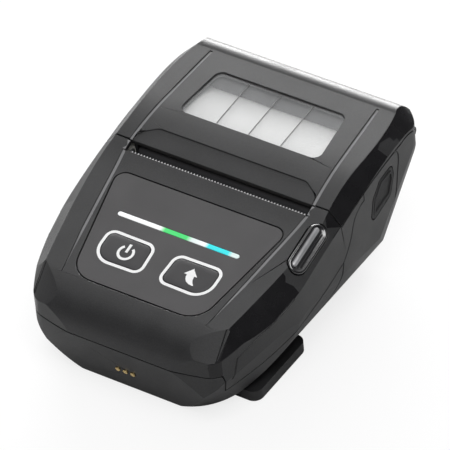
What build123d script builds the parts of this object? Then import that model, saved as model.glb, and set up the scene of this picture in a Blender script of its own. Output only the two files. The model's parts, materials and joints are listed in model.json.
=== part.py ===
from build123d import *
import math
import os

# Portable receipt printer for 58 mm paper, in millimetres.
# Origin: centre of the footprint on the table. +X right, +Y to the lid hinge, +Z up.

# Walls and clearances
wall = 1.6
seam_gap = 0.3
lid_gap = 0.4
slip = 0.15
seat_gap = 0.05
turning_gap = 0.3
shaft_clearance = 0.05

# Overall body
half_width = 39.8
rear_half_width = half_width - 2.0
front_y = -52.1
rear_y = 51.0
base_z = 0.5
rear_corner_radius = 6.0
nose_corner = (half_width - 12.4, -49.9)
shoulder_corner = (half_width - 8.2, -46.9)
hull_radius = 22.0
sky_z = 60.0
span = 60.0

# Side view of the body: the sloping panel, the crest of the lid, the rear and the front facet
panel_low = (-41.85, 30.0)
panel_high = (-5.75, 37.7)
tear_top = (2.0, 39.9)
lid_middle = (22.0, 44.15)
lid_crest = (44.3, 45.7)
rear_bend = (49.8, 44.0)
rear_top_z = 39.4
rear_low_z = 30.0
rear_foot = (42.6, 10.4)
facet_low = (-47.9, base_z)
facet_high = (front_y, 17.6)
panel_angle = math.degrees(math.atan2(panel_high[1] - panel_low[1], panel_high[0] - panel_low[0]))

# Dark band along both shoulders: (y, top height, inner and outer edge in from the side, drop)
band_stations = [
    (60.0, 45.7, 14.5, 3.3, 13.0),
    (49.0, 45.7, 7.4, 2.6, 5.2),
    (43.0, 45.6, 5.8, 2.4, 3.4),
    (22.0, 44.15, 4.4, 1.2, 3.6),
    (3.0, 40.25, 3.9, 0.5, 3.9),
    (-20.0, 34.66, 5.4, 0.7, 4.9),
    (-41.85, 30.0, 9.3, 4.9, 5.2),
    (-58.0, 26.55, 13.8, 9.4, 5.2),
]
# Rounding of the corners at the rear foot, the front foot and the nose: (x, reach towards the corner)
rear_round = [(half_width + 0.6, 0.0), (half_width - 3.2, 12.5), (half_width - 7.8, 22.0), (half_width - 15.3, 27.5)]
nose_round = [
    (half_width + 0.6, 36.0), (half_width - 4.2, 45.6), (half_width - 8.6, 49.9), (half_width - 14.5, 52.2),
    (half_width - 26.0, 53.5),
]
front_round = [
    (half_width + 0.6, -4.0), (half_width - 4.2, 14.0), (half_width - 9.2, 24.6), (half_width - 16.3, 30.7),
    (half_width - 31.8, 34.0),
]
groove_depth = 0.35
groove_width = 0.5

# Lid split
lid_front_y = 4.6
slot_front_y = 0.9
slot_half = 30.6

# Lid hinge: its knuckles reach as far behind the origin as the nose reaches in front
knuckle_radius = 1.9
hinge_y = -front_y - knuckle_radius
hinge_z = 34.6
hinge_arm_z = hinge_z + 2.8
hinge_pin_radius = 1.0
hinge_relief = 0.4
lid_knuckle = (rear_half_width - 13.0, rear_half_width - 6.5)
case_knuckle = (rear_half_width - 6.0, rear_half_width - 2.6)
lid_heel_z = hinge_z + 1.1

# Paper roll and its bin
roll_y = 27.6
roll_z = 24.4
roll_radius = 16.5
roll_width = 57.5
core_radius = 6.2
core_wall = 1.0
bin_gap = 0.3
bin_wall = 0.8
bin_inner_half = 29.1
bin_top_z = 30.3
bin_radius = roll_radius + bin_gap

# Platen and its drive
platen_y = 7.9
platen_z = 34.6
platen_radius = 4.0
platen_half = 28.6
shaft_radius = 1.5
bush_radius = 2.6
arm_x = (28.95, 29.85)
arm_half = 3.0
gear_module = 0.5
platen_teeth = 11
idler_teeth = 27
pinion_teeth = 10
gear_x = (-35.2, -33.2)
idler_y = platen_y
idler_z = platen_z - gear_module * (platen_teeth + idler_teeth) / 2
pinion_reach = gear_module * (idler_teeth + pinion_teeth) / 2
pinion_direction = 225.0
pinion_y = idler_y + pinion_reach * math.cos(math.radians(pinion_direction))
pinion_z = idler_z + pinion_reach * math.sin(math.radians(pinion_direction))
idler_phase = 90 - 180 / idler_teeth
pinion_lead = (idler_phase - pinion_direction) * idler_teeth / 360 % 1
pinion_phase = pinion_direction - 180 - (pinion_lead - 0.5) * 360 / pinion_teeth
idler_pin_radius = 1.2
motor_radius = 6.0
motor_length = 12.0
motor_shaft_radius = 0.75

# Steel print chassis
plate_x = 30.2
plate_thickness = 0.8
chassis_floor_z = 8.6
chassis_front_y = -4.3
chassis_back_y = 13.0
chassis_top_z = 36.8
bridge_z = (25.0, 36.0)
chassis_floor_y = (-3.0, 9.0)
plate_outline = [(9.0, 8.6), (13.0, 22.0), (13.0, 33.5), (11.6, 36.6), (5.0, 36.8), (-1.0, 36.8), (-4.3, 35.6)]
chassis_screw_x = (-24.0, 0.0, 24.0)
chassis_screw_y = 3.0

# Print head
head_half = 27.5
head_thickness = 1.0
heatsink_thickness = 2.0
head_z = (27.0, 36.4)
heatsink_z = (26.0, 36.6)
heatsink_half = 28.3
head_spring_x = 14.0
head_spring_z = 31.0
head_spring_radius = 1.8
head_face_y = platen_y - platen_radius - turning_gap

# Tear bar
tear_half = 29.5
tooth_pitch = 1.0
tooth_depth = 0.8
tear_bar_thickness = 0.5
tear_bar_depth = 5.2
tear_tip = 0.4
tear_edge = (2.2, 38.15)
tear_angle = 17.6

# Control panel and keys, in the panel's own plane
panel_thickness = 0.9
panel_top_half = 28.5
panel_bottom_half = 21.2
panel_half_length = 18.46
panel_gap = 0.4
key_travel = 0.6
key_outline = [(3.4, -0.75), (19.3, -0.55), (19.35, -11.7), (2.75, -11.4)]
key_corners = [3.0, 2.8, 5.6, 2.8]
key_depth = 2.9
key_inset = 0.9
light_bar_v = 5.2
light_bar_half = 20.3
light_bar_width = 1.4
board_gap = 5.6
board_thickness = 1.2
board_half = 26.5
board_v = (-16.5, 14.5)
board_post_radius = 2.2
board_posts = [(-23.5, 12.0), (23.5, 12.0), (-20.0, -14.0), (20.0, -14.0)]
switch_at = (10.9, -6.2)
led_u = (-8.0, 4.0, 15.0)

# Release lever on the right shoulder
lever_centre = (half_width - 3.7, -8.0, 35.9)
lever_normal = (0.62, -0.19, 0.76)
lever_length = 17.0
lever_width = 5.8
lever_travel = 1.5
lever_pad_depth = 2.4
lever_proud = 1.0
lever_flange = (-10.0, 2.0, 0.8)
lever_slip = 0.2
recess_length = 21.5
recess_width = 9.6
recess_depth = 0.9
recess_tip = (-13.8, -4.4)

# Latch behind the lever
latch_x = 31.4
latch_thickness = 0.8
latch_pivot = (-1.6, 22.0)
latch_boss_radius = 2.2
latch_pin_radius = 1.0
latch_hook = [
    (-3.4, 22.8), (0.6, 33.0), (1.2, 34.6), (2.0, 35.3), (4.2, 35.9), (5.0, 35.4), (4.0, 34.4), (3.2, 33.0),
    (0.6, 22.4),
]
latch_crank = [(-1.6, 19.9), (-5.6, 22.6), (-7.7, 24.0), (-6.9, 25.7), (-1.6, 24.2)]
latch_tab = [(-7.4, 24.4), (-5.6, 24.4), (-5.4, 31.4), (-8.6, 31.4)]
latch_tab_x = 33.0
latch_spring_x = 14.0
latch_spring_z = 17.0
latch_bar_centre = (-6.6, 24.4)
latch_bar_radius = 1.1

# Battery
battery_half = 26.5
battery_y = (-36.0, -12.5)
battery_top_z = 15.0
battery_clear_z = 0.3
flange_half = 35.0
flange_y = (-36.6, -10.1)
flange_top_z = 3.8
pack_gap = 0.3
bay_wall = 1.1
terminal_x = (-4.0, 0.0, 4.0)
terminal_y = (-18.0, -14.0)

# Slide that holds the battery, flush in the floor behind it
catch_half = 6.0
catch_y = (-7.6, -4.6)
catch_travel = 2.0

# Case screws: (x, y, seat height, tip height, top of the lower boss)
case_screw_at = [(20.5, -42.6, 5.0, 18.0, 10.3), (half_width - 5.3, -7.6, 15.0, 22.6, 20.3)]
boss_radius = 2.8
screw_radius = 1.1
screw_head = (1.7, 1.4)

# Window
window_top = (21.6, 37.5)
window_bottom = (23.7, 18.6)
window_corner = 2.6
window_flange = 1.5
window_inset = 0.6

# Right side port
port_outline = [(32.9, 37.0), (26.0, 36.5), (21.8, 32.6), (20.0, 25.2), (31.0, 27.4), (33.5, 33.0)]
port_x = (half_width - 2.4, half_width - 0.5)
port_gap = 0.3
port_strip = [(31.3, 33.6), (28.3, 31.4), (23.4, 28.0), (24.0, 26.4)]
usb_x = port_x[0] - 5.85
usb_y = 26.9
usb_z = 31.3

# Charging contacts on the front facet, and the feet
contact_x = (-2.5, 0.0, 2.5)
contact_v = -1.0
contact_radius = 0.75
pad_foot = (11.0, -42.2, 11.0, 3.2)
round_foot = (13.5, 21.0, 4.0)

os.makedirs("parts", exist_ok=True)


def block(x, y, z, mode=Mode.ADD):
    """A box between two corners, given as ranges along X, Y and Z."""
    with Locations(((x[0] + x[1]) / 2, (y[0] + y[1]) / 2, (z[0] + z[1]) / 2)):
        Box(x[1] - x[0], y[1] - y[0], z[1] - z[0], mode=mode)


def rod(x, y, z, radius, mode=Mode.ADD):
    """A cylinder along X between x[0] and x[1]."""
    with Locations(Plane(origin=((x[0] + x[1]) / 2, y, z), z_dir=(1, 0, 0))):
        Cylinder(radius, x[1] - x[0], mode=mode)


def post(x, y, z, radius, mode=Mode.ADD):
    """A cylinder along Z between z[0] and z[1]."""
    with Locations((x, y, (z[0] + z[1]) / 2)):
        Cylinder(radius, z[1] - z[0], mode=mode)


def save(builder, name):
    builder.part.label = name
    export_step(builder.part, "parts/" + name + ".step")


def plan_lines():
    with BuildLine() as lines:
        front_side = ThreePointArc(shoulder_corner, (half_width - 3.0, -34.4), (half_width, -12.0))
        rear_side = ThreePointArc(front_side @ 1, (half_width - 0.25, 8.5), (rear_half_width, rear_y))
        corner = ThreePointArc(shoulder_corner, (half_width - 10.0, -48.8), nose_corner)
        mirror(front_side, about=Plane.YZ)
        mirror(rear_side, about=Plane.YZ)
        mirror(corner, about=Plane.YZ)
        ThreePointArc(nose_corner, (0, front_y - 1.4), (-nose_corner[0], nose_corner[1]))
        Line((rear_half_width, rear_y), (-rear_half_width, rear_y))
    return lines.line


def profile_lines():
    with BuildLine() as lines:
        panel = Line(panel_low, panel_high)
        rim = TangentArc(panel_high, tear_top, tangent=panel % 1)
        lid_front = TangentArc(tear_top, lid_middle, tangent=rim % 1)
        TangentArc(lid_middle, lid_crest, tangent=lid_front % 1)
        ThreePointArc(lid_crest, rear_bend, (rear_y, rear_top_z))
        Line((rear_y, rear_top_z), (rear_y, rear_low_z))
        ThreePointArc((rear_y, rear_low_z), rear_foot, (26.0, base_z))
        Line((26.0, base_z), facet_low)
        Line(facet_low, facet_high)
        TangentArc(panel_low, facet_high, tangent=-(panel % 0))
    return lines.line


def section_lines():
    centre = half_width + 0.1 - hull_radius
    with BuildLine() as lines:
        Line((-centre, base_z), (centre, base_z))
        CenterArc((centre, base_z + hull_radius), hull_radius, -90, 90)
        CenterArc((-centre, base_z + hull_radius), hull_radius, 180, 90)
        Line((centre + hull_radius, base_z + hull_radius), (centre + hull_radius, sky_z))
        Line((-centre - hull_radius, base_z + hull_radius), (-centre - hull_radius, sky_z))
        Line((-centre - hull_radius, sky_z), (centre + hull_radius, sky_z))
    return lines.line


def round_lines(points):
    """A wide plate with its far end drawn in to the middle, through arcs with the given points."""
    far, wide = 2 * span, 2 * half_width
    with BuildLine() as lines:
        start = Line((wide, -far), points[0])
        arcs = [ThreePointArc(*points[0:3])]
        if len(points) > 4:
            arcs.append(ThreePointArc(*points[2:5]))
        else:
            arcs.append(Line(points[2], points[3]))
        for line in [start] + arcs:
            mirror(line, about=Plane.YZ)
        Line(points[-1], (-points[-1][0], points[-1][1]))
        Line((-wide, -far), (wide, -far))
    return lines.line


def band_triangle(station, inset):
    """The corner that the shoulder band takes off the body at one station."""
    y, top, inner, outer, drop = station
    inner, outer = half_width - inner, half_width - outer
    length = math.hypot(outer - inner, drop)
    shift_x = inset * drop / length
    shift_z = inset * (outer - inner) / length
    run_x, run_z = outer - inner, -drop
    high = (inner - shift_x - 0.8 * run_x, top - shift_z - 0.8 * run_z)
    low = (outer - shift_x + 1.6 * run_x, top - drop - shift_z + 1.6 * run_z)
    with BuildSketch(Plane.XZ.offset(-y)) as corner:
        with BuildLine():
            Polyline(high, low, (low[0], high[1]), close=True)
        make_face()
    return corner.sketch


def body_form(inset=0.0):
    """The whole outer body, or the same form drawn in by inset."""
    with BuildPart() as band:
        loft([band_triangle(station, inset).faces()[0] for station in band_stations])
        mirror(about=Plane.YZ)
    with BuildPart() as form:
        with BuildSketch() as plan:
            add(plan_lines())
            make_face()
            fillet(plan.vertices().group_by(Axis.Y)[-1], rear_corner_radius)
            if inset:
                offset(amount=-inset)
        extrude(amount=sky_z)
        with BuildSketch(Plane.YZ.offset(-span)):
            add(profile_lines())
            make_face()
            if inset:
                offset(amount=-inset)
        extrude(amount=2 * span, mode=Mode.INTERSECT)
        with BuildSketch(Plane.XZ.offset(-span)):
            add(section_lines())
            make_face()
            if inset:
                offset(amount=-inset)
        extrude(amount=2 * span, mode=Mode.INTERSECT)
        for points, slope in ((rear_round, (0, 1, 1)), (front_round, (0, 1, -1)), (nose_round, (0, -1, -1))):
            corner_plane = Plane(origin=(0, 0, 0), x_dir=(1, 0, 0), z_dir=slope)
            with BuildSketch(corner_plane.offset(-1.5 * span)):
                add(round_lines(points))
                make_face()
                if inset:
                    offset(amount=-inset)
            extrude(amount=3 * span, mode=Mode.INTERSECT)
        add(band, mode=Mode.SUBTRACT)
    return form.part


def lid_region(grow=0.0):
    """Side view of the lid, as a prism right across the body."""
    with BuildPart() as region:
        with BuildSketch(Plane.YZ.offset(-span)):
            with BuildLine():
                Line((lid_front_y, sky_z), (lid_front_y, 36.0))
                ThreePointArc((lid_front_y, 36.0), (22.0, lid_middle[1] - 4.6), (39.0, 40.6))
                ThreePointArc((39.0, 40.6), (46.4, 39.5), (rear_y - 0.6, lid_heel_z))
                Polyline((rear_y - 0.6, lid_heel_z), (span, lid_heel_z), (span, sky_z), (lid_front_y, sky_z))
            make_face()
            if grow:
                offset(amount=grow)
        extrude(amount=2 * span)
    return region.part


def upper_region(grow=0.0):
    """Side view of the front housing above the side seam, as a prism."""
    with BuildPart() as region:
        with BuildSketch(Plane.YZ.offset(-span)):
            with BuildLine():
                Polyline((-span, facet_high[1]), (-46.8, facet_high[1]), (-44.9, 10.3), (4.1, 23.0))
                ThreePointArc((4.1, 23.0), (7.6, 26.6), (10.0, 31.0))
                ThreePointArc((10.0, 31.0), (12.6, 34.6), (17.0, 36.2))
                Polyline((17.0, 36.2), (17.0, sky_z), (-span, sky_z), (-span, facet_high[1]))
            make_face()
            if grow:
                offset(amount=grow)
        extrude(amount=2 * span)
    return region.part


def gear_face(teeth, x, y, z, phase):
    """A spur gear with straight-flanked teeth, on a plane square to X."""
    pitch_radius = gear_module * teeth / 2
    root_radius = pitch_radius - 1.25 * gear_module
    tip_radius = pitch_radius + 0.9 * gear_module
    step = 360 / teeth
    flank = [(root_radius - 0.2, -0.28), (tip_radius, -0.10), (tip_radius, 0.10), (root_radius - 0.2, 0.28)]
    with BuildSketch(Plane(origin=(x, y, z), x_dir=(0, 1, 0), z_dir=(1, 0, 0))) as face:
        Circle(root_radius)
        for index in range(teeth):
            with BuildLine():
                Polyline(
                    [Vector(reach, 0).rotate(Axis.Z, phase + (index + share) * step) for reach, share in flank],
                    close=True,
                )
            make_face()
    return face.sketch


outer = body_form()
inner = body_form(wall)
lid_space = lid_region(lid_gap)
middle = body_form(wall / 2)
panel_plane = Plane(
    origin=(0, (panel_low[0] + panel_high[0]) / 2, (panel_low[1] + panel_high[1]) / 2),
    x_dir=(1, 0, 0),
    z_dir=Vector(0, 0, 1).rotate(Axis.X, panel_angle),
)
lever_plane = Plane(origin=lever_centre, x_dir=(0, 0.966, 0.26), z_dir=lever_normal)
tear_plane = Plane(
    origin=(0, tear_edge[0], tear_edge[1]),
    x_dir=(1, 0, 0),
    z_dir=Vector(0, 0, 1).rotate(Axis.X, tear_angle),
)
facet_plane = Plane(
    origin=(0, (facet_low[0] + facet_high[0]) / 2, (facet_low[1] + facet_high[1]) / 2),
    x_dir=(1, 0, 0),
    z_dir=(0, -(facet_high[1] - facet_low[1]), facet_high[0] - facet_low[0]),
)


def panel_outline(grow=0.0, height=0.0):
    with BuildSketch(panel_plane.offset(height)) as outline:
        with BuildLine():
            Polyline(
                (-panel_bottom_half, -panel_half_length),
                (panel_bottom_half, -panel_half_length),
                (panel_top_half, panel_half_length),
                (-panel_top_half, panel_half_length),
                close=True,
            )
        make_face()
        fillet(outline.vertices().group_by(Axis.Y)[0], 7.5)
        fillet(outline.vertices().group_by(Axis.Y)[-1], 3.0)
        if grow:
            offset(amount=grow)
    return outline.sketch


def key_face(side, grow=0.0, height=0.0):
    """One key's outline on the panel; side is -1 for the left key, 1 for the right."""
    with BuildSketch(panel_plane.offset(height)) as outline:
        with BuildLine():
            Polyline([(side * u, v) for u, v in key_outline], close=True)
        make_face()
        for (u, v), radius in zip(key_outline, key_corners):
            fillet(outline.vertices().sort_by_distance((side * u, v, 0))[0], radius)
        offset(amount=grow - key_inset)
    return outline.sketch


def bar_face(grow=0.0, height=0.0):
    with BuildSketch(panel_plane.offset(height)) as outline:
        with Locations((0, light_bar_v)):
            SlotOverall(2 * (light_bar_half + grow), light_bar_width + 2 * grow)
    return outline.sketch


def lever_face(length, width, height=0.0):
    with BuildSketch(lever_plane.offset(height)) as outline:
        SlotOverall(length, width)
    return outline.sketch


def lever_recess():
    """The dished surround of the lever, drawn out to a point down the side."""
    with BuildSketch(lever_plane.offset(-recess_depth)) as outline:
        SlotOverall(recess_length, recess_width)
        with BuildLine():
            Polyline([(-9.0, 1.5), recess_tip, (6.0, -4.8), (6.0, 0.0)], close=True)
        make_face()
    return outline.sketch


def window_face(grow, height=0.0):
    with BuildSketch(Plane.XY.offset(height)) as outline:
        with BuildLine():
            Polyline(
                (-window_bottom[0], window_bottom[1]),
                (window_bottom[0], window_bottom[1]),
                (window_top[0], window_top[1]),
                (-window_top[0], window_top[1]),
                close=True,
            )
        make_face()
        fillet(outline.vertices(), window_corner)
        if grow:
            offset(amount=grow)
    return outline.sketch


def port_face(grow, x):
    with BuildSketch(Plane.YZ.offset(x)) as outline:
        with BuildLine():
            Polyline(port_outline, close=True)
        make_face()
        fillet(outline.vertices(), 1.6)
        if grow:
            offset(amount=grow)
    return outline.sketch


# The three shells as they come from the body, before anything is cut or added
with BuildPart() as shell:
    add(outer)
    add(inner, mode=Mode.SUBTRACT)
with BuildPart() as lower_shell:
    add(shell)
    add(lid_space, mode=Mode.SUBTRACT)
    add(upper_region(seam_gap), mode=Mode.SUBTRACT)
with BuildPart() as upper_shell:
    add(shell)
    add(upper_region(), mode=Mode.INTERSECT)
    add(lid_space, mode=Mode.SUBTRACT)
with BuildPart() as lid_shell:
    add(shell)
    add(lid_region(), mode=Mode.INTERSECT)

# Shallow grooves, each a strip with the drawn-in body taken out of it
with BuildPart() as top_grooves:
    with BuildSketch(Plane.XY.offset(25)) as strips:
        with BuildLine():
            Polyline((30.3, 1.0), (31.3, 1.0), (27.3, -26.7), (24.2, -42.5), (26.4, -26.7), close=True)
        make_face()
        with BuildLine():
            Polyline((30.3, 4.0), (31.3, 4.0), (28.6, 43.5), (27.8, 43.5), close=True)
        make_face()
        mirror(about=Plane.YZ)
    extrude(amount=sky_z)
    add(body_form(groove_depth), mode=Mode.SUBTRACT)

with BuildPart() as side_grooves:
    with BuildSketch(Plane.YZ.offset(-span)):
        with BuildLine() as rear_groove:
            Spline((35.2, 40.2), (36.7, 38.3), (36.1, 33.0), (34.6, 26.6), (33.1, 22.8), (30.0, 17.0))
        trace(line_width=groove_width)
        with BuildLine() as lower_groove:
            Spline((4.1, 23.0), (1.6, 16.9), (-1.9, 14.0), (-8.0, 12.0))
        trace(line_width=groove_width)
        with BuildLine() as cheek_groove:
            Polyline((-20.8, 28.9), (-36.0, 24.9), (-42.4, 21.6), (-44.0, 14.6))
        trace(line_width=groove_width)
    extrude(amount=2 * span)
    add(body_form(groove_depth), mode=Mode.SUBTRACT)


def panel_post(u, v, n, radius, mode=Mode.ADD):
    """A cylinder square to the panel, between heights n[0] and n[1] from its surface."""
    with Locations(panel_plane * Location((u, v, (n[0] + n[1]) / 2))):
        Cylinder(radius, n[1] - n[0], mode=mode)


def panel_block(u, v, n, mode=Mode.ADD):
    with Locations(panel_plane * Location(((u[0] + u[1]) / 2, (v[0] + v[1]) / 2, (n[0] + n[1]) / 2))):
        Box(u[1] - u[0], v[1] - v[0], n[1] - n[0], mode=mode)


def side_prism(points, x, corner=0.0):
    """A plate square to X between x[0] and x[1], from its side view."""
    with BuildPart() as prism:
        with BuildSketch(Plane.YZ.offset(x[0])) as outline:
            with BuildLine():
                Polyline(points, close=True)
            make_face()
            if corner:
                fillet(outline.vertices(), corner)
        extrude(amount=x[1] - x[0])
    return prism.part


def pack_outline(half, y, corner, height):
    with BuildSketch(Plane.XY.offset(height)) as outline:
        with Locations((0, (y[0] + y[1]) / 2)):
            RectangleRounded(2 * half, y[1] - y[0], corner)
    return outline.sketch


def both(x):
    """The same range along X on the left and on the right."""
    return [(x[0], x[1]), (-x[1], -x[0])]


# Lower case: the rounded bottom shell with the battery bay
pack_margin = pack_gap + bay_wall
with BuildPart() as bay:
    block(
        (-flange_half - pack_margin, flange_half + pack_margin),
        (flange_y[0] - pack_margin, flange_y[1] + pack_margin),
        (base_z + 1, flange_top_z + pack_margin),
    )
    block(
        (-battery_half - pack_margin, battery_half + pack_margin),
        (battery_y[0] - pack_margin, battery_y[1] + pack_margin),
        (base_z + 1, battery_top_z + pack_margin),
    )
    for x, y, seat_z, tip_z, top_z in case_screw_at:
        for side in (-1, 1):
            post(side * x, y, (base_z + 1, top_z), boss_radius)
    for x in chassis_screw_x:
        post(x, chassis_screw_y, (base_z + 1, chassis_floor_z - seat_gap), 2.2)
    post(latch_spring_x, latch_bar_centre[0], (base_z + 1, latch_spring_z), 2.0)
    for rib_x in both((14.2, 15.8)):
        block(rib_x, (14.0, 40.0), (base_z + 1, 14.0))
    for x in both(case_knuckle):
        block(x, (45.6, hinge_y), (hinge_z - knuckle_radius, hinge_z + 1.1))
    add(middle, mode=Mode.INTERSECT)
    rod((-30, 30), roll_y, roll_z, bin_radius + bin_wall + seat_gap, mode=Mode.SUBTRACT)

with BuildPart() as lower_case:
    add(lower_shell)
    add(bay)
    for x in both(case_knuckle):
        rod(x, hinge_y, hinge_z, knuckle_radius)
    add(side_grooves, mode=Mode.SUBTRACT)
    extrude(
        pack_outline(flange_half + pack_gap, (flange_y[0] - pack_gap, flange_y[1] + pack_gap), 3.3, -1),
        amount=flange_top_z + pack_gap + 1,
        mode=Mode.SUBTRACT,
    )
    extrude(
        pack_outline(battery_half + pack_gap, (battery_y[0] - pack_gap, battery_y[1] + pack_gap), 2.3, -1),
        amount=battery_top_z + pack_gap + 1,
        mode=Mode.SUBTRACT,
    )
    for x in terminal_x:
        block((x - 0.75, x + 0.75), (terminal_y[0] - slip, terminal_y[1] + slip), (15, 17), mode=Mode.SUBTRACT)
    for x, y, seat_z, tip_z, top_z in case_screw_at:
        for side in (-1, 1):
            post(side * x, y, (-1, seat_z), screw_head[0] + slip, mode=Mode.SUBTRACT)
            post(side * x, y, (seat_z - 1, top_z + 1), screw_radius + slip, mode=Mode.SUBTRACT)
    for x in chassis_screw_x:
        post(x, chassis_screw_y, (3.5, chassis_floor_z), 0.95, mode=Mode.SUBTRACT)
    block(
        (-catch_half - 0.3, catch_half + 0.3),
        (catch_y[0] - 0.3, catch_y[1] + catch_travel + 0.3),
        (0, wall + base_z + 0.4),
        mode=Mode.SUBTRACT,
    )
    block((-3.3, 3.3), (flange_y[1], catch_y[0] - 0.6), (wall + base_z + 0.05, 3.8), mode=Mode.SUBTRACT)
    extrude(port_face(port_gap, port_x[0] - 2.4), amount=6, mode=Mode.SUBTRACT)
    for x in contact_x:
        with Locations(facet_plane * Location((x, contact_v, -1))):
            Cylinder(contact_radius + seat_gap, 4, mode=Mode.SUBTRACT)
    rod((-40, 40), hinge_y, hinge_z, hinge_pin_radius + 0.02, mode=Mode.SUBTRACT)
    for x in both((lid_knuckle[0] - hinge_relief, case_knuckle[0] - 0.1)):
        rod(x, hinge_y, hinge_z, knuckle_radius + hinge_relief, mode=Mode.SUBTRACT)
        block(x, (hinge_y - knuckle_radius - hinge_relief, 55), (hinge_z, 42), mode=Mode.SUBTRACT)
save(lower_case, "lower_case")

# Upper case: the front housing round the panel, up to the paper slot
with BuildPart() as upper_bosses:
    for x, y, seat_z, tip_z, top_z in case_screw_at[:1]:
        for side in (-1, 1):
            post(side * x, y, (top_z + seam_gap, 30), boss_radius)
    for x, y, seat_z, tip_z, top_z in case_screw_at[1:]:
        for lug_x in both((half_width - 7.4, half_width - 1.0)):
            block(lug_x, (y - 2.4, y + 2.4), (top_z + seam_gap, tip_z + 0.4))
    extrude(lever_face(23.5, 11.6, -lever_pad_depth), amount=lever_pad_depth + 0.5)
    add(middle, mode=Mode.INTERSECT)

with BuildPart() as upper_case:
    add(upper_shell)
    add(upper_bosses)
    for u, v in board_posts:
        panel_post(u, v, (-board_gap, -1.2), board_post_radius)
    block((-slot_half, slot_half), (slot_front_y, lid_front_y + 2), (30.0, sky_z), mode=Mode.SUBTRACT)
    add(side_grooves, mode=Mode.SUBTRACT)
    add(top_grooves, mode=Mode.SUBTRACT)
    extrude(panel_outline(panel_gap, -panel_thickness - seat_gap), amount=6, mode=Mode.SUBTRACT)
    for side in (-1, 1):
        extrude(key_face(side, slip, -6), amount=8, mode=Mode.SUBTRACT)
    extrude(bar_face(slip, -6), amount=8, mode=Mode.SUBTRACT)
    for u, v in board_posts:
        panel_post(u, v, (-board_gap - 1, -2.0), 0.95, mode=Mode.SUBTRACT)
    extrude(lever_recess(), amount=8, mode=Mode.SUBTRACT)
    extrude(
        lever_face(lever_length + 2 * lever_slip, lever_width + 2 * lever_slip, -6),
        amount=12,
        mode=Mode.SUBTRACT,
    )
    extrude(lever_face(21.0, lever_width + 0.8, -10), amount=10 - lever_pad_depth, mode=Mode.SUBTRACT)
    for x, y, seat_z, tip_z, top_z in case_screw_at:
        for side in (-1, 1):
            post(side * x, y, (top_z, tip_z + 0.5), screw_radius + seat_gap, mode=Mode.SUBTRACT)
save(upper_case, "upper_case")

# Lid over the paper roll, with its window, its hinge knuckles and the two arms for the platen
with BuildPart() as cover_ribs:
    for x in both(arm_x):
        block(x, (platen_y - arm_half, platen_y + arm_half), (platen_z - arm_half, 44))
        rod(x, platen_y, platen_z, arm_half)
    add(middle, mode=Mode.INTERSECT)

with BuildPart() as scoop:
    with BuildSketch(Plane.XY.offset(34)) as patch:
        with BuildLine():
            Polyline((-30.2, 3.0), (30.2, 3.0), (30.0, 7.2), (24.8, 10.6), (-24.8, 10.6), (-30.0, 7.2), close=True)
        make_face()
        fillet(patch.vertices().group_by(Axis.Y)[-1], 3.0)
    extrude(amount=sky_z)
    add(body_form(0.45), mode=Mode.SUBTRACT)

with BuildPart() as paper_cover:
    add(lid_shell)
    add(top_grooves, mode=Mode.SUBTRACT)
    add(scoop, mode=Mode.SUBTRACT)
    add(cover_ribs)
    for x in both((case_knuckle[0] - 0.1, half_width)):
        rod(x, hinge_y, hinge_z, knuckle_radius + hinge_relief, mode=Mode.SUBTRACT)
    for x in both(lid_knuckle):
        rod(x, hinge_y, hinge_z, knuckle_radius)
        block(x, (hinge_y - 1.1, hinge_y + 0.1), (hinge_z, hinge_arm_z + 0.7))
    rod((-40, 40), hinge_y, hinge_z, hinge_pin_radius + shaft_clearance, mode=Mode.SUBTRACT)
    rod((-40, 40), platen_y, platen_z, shaft_radius + 0.1, mode=Mode.SUBTRACT)
    extrude(window_face(0, 36), amount=20, mode=Mode.SUBTRACT)
save(paper_cover, "paper_cover")

with BuildPart() as pane:
    add(body_form(window_inset))
    extrude(window_face(-slip, 36), amount=20, mode=Mode.INTERSECT)
with BuildPart() as window_rim:
    add(body_form(wall + seat_gap))
    extrude(window_face(window_flange, 36), amount=20, mode=Mode.INTERSECT)
with BuildPart() as window_lines:
    add(body_form(window_inset - 0.2))
    with BuildSketch(Plane.XY.offset(40)) as strips:
        for x in (-10.8, 0, 10.8):
            with Locations((x, 28)):
                Rectangle(0.4, 17.6)
    extrude(strips.sketch, amount=20, mode=Mode.INTERSECT)
with BuildPart() as cover_window:
    add(pane)
    add(window_rim)
    add(window_lines)
    add(body_form(wall + 1.05), mode=Mode.SUBTRACT)
save(cover_window, "cover_window")

with BuildPart() as hinge_pins:
    for x in both((lid_knuckle[0] + 0.2, case_knuckle[1] - 0.2)):
        rod(x, hinge_y, hinge_z, hinge_pin_radius)
save(hinge_pins, "hinge_pins")

# Control panel, keys and light bar
with BuildPart() as control_panel:
    extrude(panel_outline(0, -panel_thickness), amount=panel_thickness)
    for side in (-1, 1):
        extrude(key_face(side, slip, -2), amount=4, mode=Mode.SUBTRACT)
    extrude(bar_face(slip, -2), amount=4, mode=Mode.SUBTRACT)
save(control_panel, "control_panel")

for side, name in ((-1, "power_key"), (1, "feed_key")):
    with BuildPart() as key:
        extrude(key_face(side, 0, -key_depth), amount=key_depth + 0.15)
        extrude(key_face(side, 0.8, -wall - 1), amount=0.95)
    save(key, name)

with BuildPart() as status_light_bar:
    extrude(bar_face(0, -2.2), amount=2.2)
    for u in led_u:
        panel_block((u - 1.2, u + 1.2), (light_bar_v - 0.6, light_bar_v + 0.6), (-board_gap + 0.85, -2.1))
save(status_light_bar, "status_light_bar")

with BuildPart() as main_board:
    panel_block((-board_half, board_half), board_v, (-board_gap - board_thickness, -board_gap - seat_gap))
    for u, v in board_posts:
        panel_post(u, v, (-board_gap - 3, -board_gap + 1), 1.0, mode=Mode.SUBTRACT)
save(main_board, "main_board")

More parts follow.
